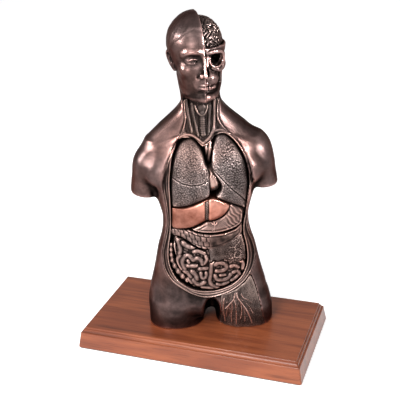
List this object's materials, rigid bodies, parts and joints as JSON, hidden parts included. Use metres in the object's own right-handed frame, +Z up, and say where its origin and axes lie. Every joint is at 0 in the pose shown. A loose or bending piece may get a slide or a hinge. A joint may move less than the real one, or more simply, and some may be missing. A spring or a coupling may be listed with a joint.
{
  "type": "torso anatomy model",
  "caption": "Desk-size teaching torso in dark bronze finish on a wooden base, opened from neck to pelvis, with lift-off lungs, liver, stomach, intestines and brain half",
  "frame": {"origin": "centre of the base's underside, on the surface the model stands on", "axes": "+X along the base's long side, +Y to the back, +Z up; the figure is turned 20 degrees to +X on its base"},
  "size_m": [0.254, 0.133, 0.3669],
  "materials": {
    "bronze": "satin",
    "dark_bronze": "satin",
    "lung_bronze": "satin",
    "organ_bronze": "satin",
    "copper": "polished",
    "wood": "gloss",
    "felt": "matte",
    "steel": "satin",
    "insert_brass": "satin"
  },
  "bodies": {
    "torso_body": {"base_felt": "felt", "base_board": "wood", "screw_washer_right": "steel", "screw_washer_left": "steel", "mounting_screw_right": "steel", "mounting_screw_left": "steel", "threaded_insert_right": "insert_brass", "threaded_insert_left": "insert_brass", "torso_shell": "bronze", "skull_half": "bronze", "larynx_and_trachea": "dark_bronze", "right_sternomastoid": "dark_bronze", "right_strap_muscle": "dark_bronze", "left_strap_muscle": "dark_bronze", "neck_veins": "organ_bronze", "heart": "organ_bronze", "great_vessels": "organ_bronze", "thigh_muscle_panel": "dark_bronze", "femoral_vessels": "organ_bronze"},
    "right_lung_body": {"right_lung": "lung_bronze", "right_lung_dowel": "steel"},
    "left_lung_body": {"left_lung": "lung_bronze", "left_lung_dowel": "steel"},
    "liver_body": {"liver": "copper", "falciform_ligament": "dark_bronze", "liver_dowel": "steel"},
    "stomach_body": {"stomach": "organ_bronze", "stomach_dowel": "steel"},
    "intestines_body": {"transverse_colon": "organ_bronze", "caecum_and_ascending_colon": "organ_bronze", "small_intestine": "organ_bronze", "greater_omentum": "dark_bronze", "intestine_dowel_upper": "steel", "intestine_dowel_lower": "steel"},
    "brain_body": {"brain_hemisphere": "organ_bronze", "brain_dowel": "steel"}
  },
  "joints": [
    {"name": "right_lung_lift_off", "type": "slide", "parent": "torso_body", "child": "right_lung_body", "axis": [0.342, -0.9397, 0], "range_m": [0, 0.05]},
    {"name": "left_lung_lift_off", "type": "slide", "parent": "torso_body", "child": "left_lung_body", "axis": [0.342, -0.9397, 0], "range_m": [0, 0.05]},
    {"name": "liver_lift_off", "type": "slide", "parent": "torso_body", "child": "liver_body", "axis": [0.342, -0.9397, 0], "range_m": [0, 0.05]},
    {"name": "stomach_lift_off", "type": "slide", "parent": "torso_body", "child": "stomach_body", "axis": [0.342, -0.9397, 0], "range_m": [0, 0.05]},
    {"name": "intestines_lift_off", "type": "slide", "parent": "torso_body", "child": "intestines_body", "axis": [0.342, -0.9397, 0], "range_m": [0, 0.05]},
    {"name": "brain_lift_off", "type": "slide", "parent": "torso_body", "child": "brain_body", "axis": [0, 0, 1], "range_m": [0, 0.05]}
  ]
}
